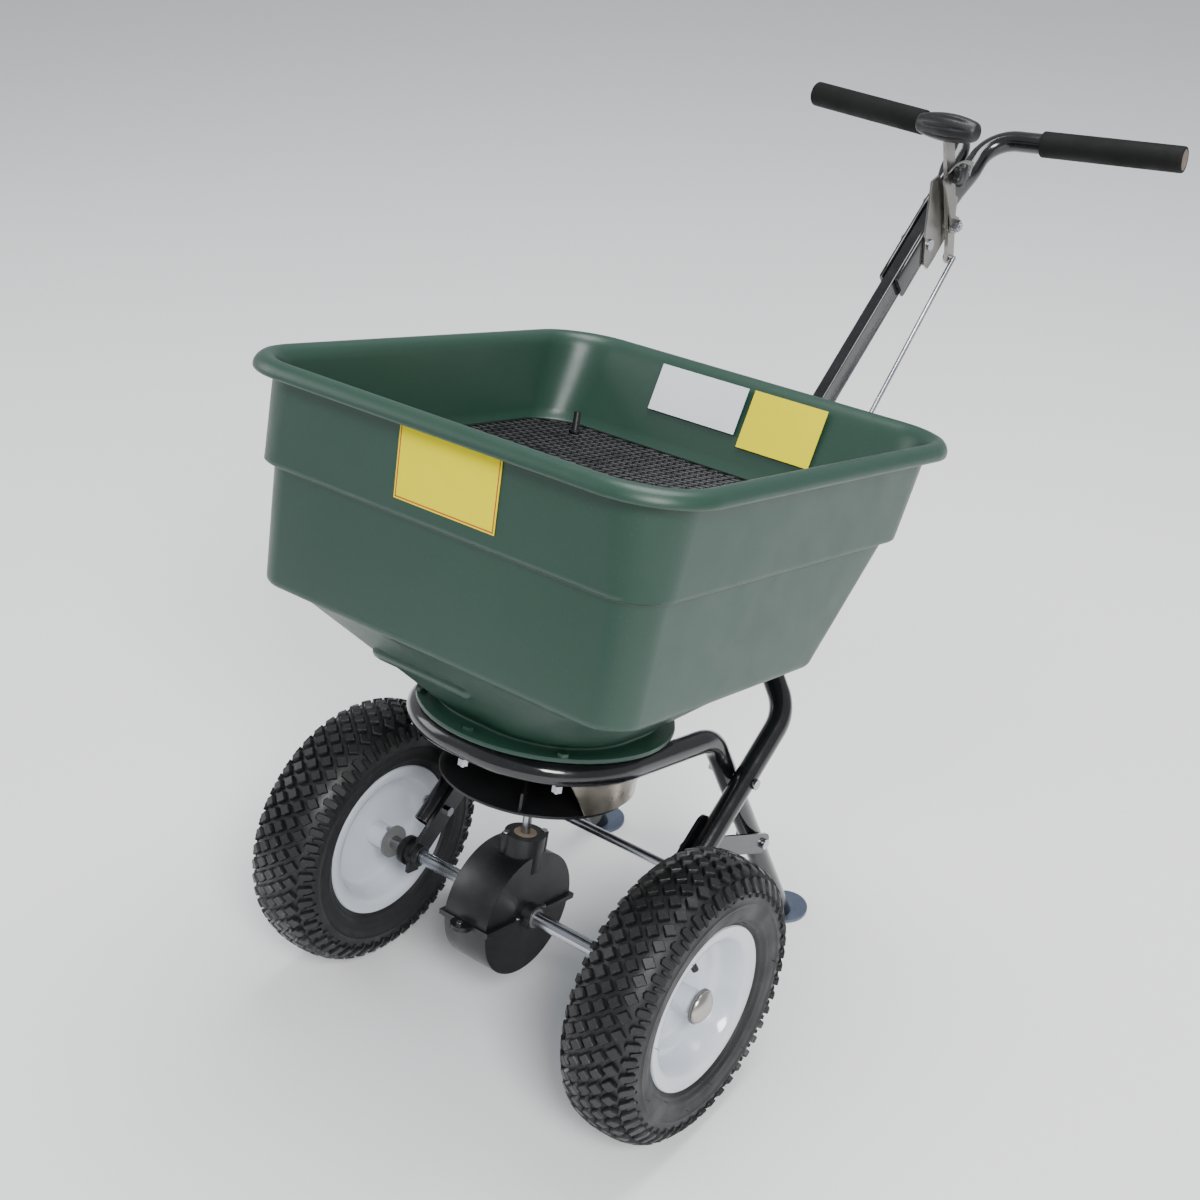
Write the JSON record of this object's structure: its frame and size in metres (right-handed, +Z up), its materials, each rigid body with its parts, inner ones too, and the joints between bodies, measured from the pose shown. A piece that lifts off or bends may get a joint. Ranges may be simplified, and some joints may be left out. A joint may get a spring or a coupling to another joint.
{
  "type": "push broadcast spreader",
  "caption": "Push broadcast spreader: open green hopper with a screen on a tubular frame, two pneumatic wheels, geared impeller, deflector, T handle and flow lever.",
  "frame": {"origin": "middle of the bounding box on the ground", "axes": "+Z up, +Y from the wheels back to the handle (the machine is pushed towards -Y), +X across the machine"},
  "size_m": [0.536, 1.1249, 0.8518],
  "materials": {
    "green_poly": "moulded satin",
    "tyre_rubber": "matte",
    "tube_rubber": "matte",
    "white_paint": "gloss",
    "black_paint": "gloss",
    "dark_plate": "satin",
    "zinc": "bright zinc",
    "tan_zinc": "zinc",
    "cap_chrome": "domed",
    "black_plastic": "satin",
    "gear_plastic": "satin",
    "bush_tan": "satin",
    "foam": "foam",
    "cap_tan": "matte",
    "label_yellow": "film",
    "label_white": "film",
    "black_mesh": "satin"
  },
  "bodies": {
    "frame": {"axle_bushes": "black_plastic", "gear_case_upper": "black_plastic", "gear_case_lower": "black_plastic", "case_screws": "zinc", "case_bushes": "gear_plastic", "shaft_bush": "bush_tan", "hopper": "green_poly", "shutter_guides": "zinc", "deflector": "tan_zinc", "hopper_bolts": "zinc", "front_label": "label_yellow", "rear_labels": "label_white", "leg_frame": "black_paint", "foot_left": "dark_plate", "foot_right": "dark_plate", "strut_left": "black_paint", "strut_right": "black_paint", "handle_frame": "black_paint", "side_straps": "black_paint", "brace_rod": "zinc", "frame_bolts": "zinc", "lower_handle": "black_paint", "upper_handle_left": "black_paint", "upper_handle_right": "black_paint", "handle_bolts": "zinc", "grip_left": "foam", "grip_right": "foam", "grip_caps": "cap_tan", "pivot_plate": "tan_zinc", "quadrant_plate": "tan_zinc", "pivot_bolt": "zinc"},
    "drive_wheel": {"axle": "zinc", "axle_pins": "zinc", "bevel_gear": "gear_plastic", "tyre_left": "tyre_rubber", "inner_tube_left": "tube_rubber", "rim_left": "white_paint", "hub_left": "white_paint", "hub_bushes_left": "gear_plastic", "hub_cap_left": "cap_chrome"},
    "free_wheel": {"tyre_right": "tyre_rubber", "inner_tube_right": "tube_rubber", "rim_right": "white_paint", "hub_right": "white_paint", "hub_bushes_right": "gear_plastic", "hub_cap_right": "cap_chrome"},
    "impeller_body": {"impeller_shaft": "zinc", "impeller": "black_plastic", "impeller_pin": "zinc", "pinion": "zinc", "agitator": "zinc"},
    "screen_body": {"screen": "black_mesh", "screen_peg": "black_plastic"},
    "shutter_body": {"shutter": "zinc", "shutter_arm": "zinc"},
    "lever_body": {"lever": "tan_zinc", "lever_knob": "black_plastic"},
    "clamp": {"clamp_knob": "black_plastic"},
    "rod": {"control_rod": "zinc", "rod_clip": "zinc"}
  },
  "joints": [
    {"name": "axle_spin", "type": "hinge", "parent": "frame", "child": "drive_wheel", "pos_m": [0, -0.40735, 0.155], "axis": [1, 0, 0], "continuous": true},
    {"name": "free_wheel_spin", "type": "hinge", "parent": "frame", "child": "free_wheel", "pos_m": [0, -0.40735, 0.155], "axis": [1, 0, 0], "continuous": true},
    {"name": "impeller_spin", "type": "hinge", "parent": "frame", "child": "impeller_body", "pos_m": [0, -0.40735, 0.155], "axis": [0, 0.2588, 0.9659], "continuous": true},
    {"name": "screen_lift", "type": "slide", "parent": "frame", "child": "screen_body", "axis": [0, 0.2588, 0.9659], "range_m": [0, 0.09]},
    {"name": "lever_swing", "type": "hinge", "parent": "frame", "child": "lever_body", "pos_m": [0.02, 0.42015, 0.70869], "axis": [-1, 0, 0], "range_deg": [0, 30]},
    {"name": "rod_swing", "type": "hinge", "parent": "lever_body", "child": "rod", "pos_m": [0.02, 0.42596, 0.66469], "axis": [-1, 0, 0], "range_deg": [-30, 0]},
    {"name": "shutter_slide", "type": "slide", "parent": "frame", "child": "shutter_body", "axis": [0, -0.9659, 0.2588], "range_m": [0, 0.0258]},
    {"name": "clamp_knob_turn", "type": "hinge", "parent": "lever_body", "child": "clamp", "pos_m": [0.031, 0.40376, 0.77675], "axis": [1, 0, 0], "range_deg": [0, 360]}
  ],
  "couplings": [
    {"joint": "impeller_spin", "follows": "axle_spin", "ratio": 4},
    {"joint": "rod_swing", "follows": "lever_swing", "ratio": -0.988},
    {"joint": "shutter_slide", "follows": "lever_swing", "m_per_rad": 0.0491}
  ]
}
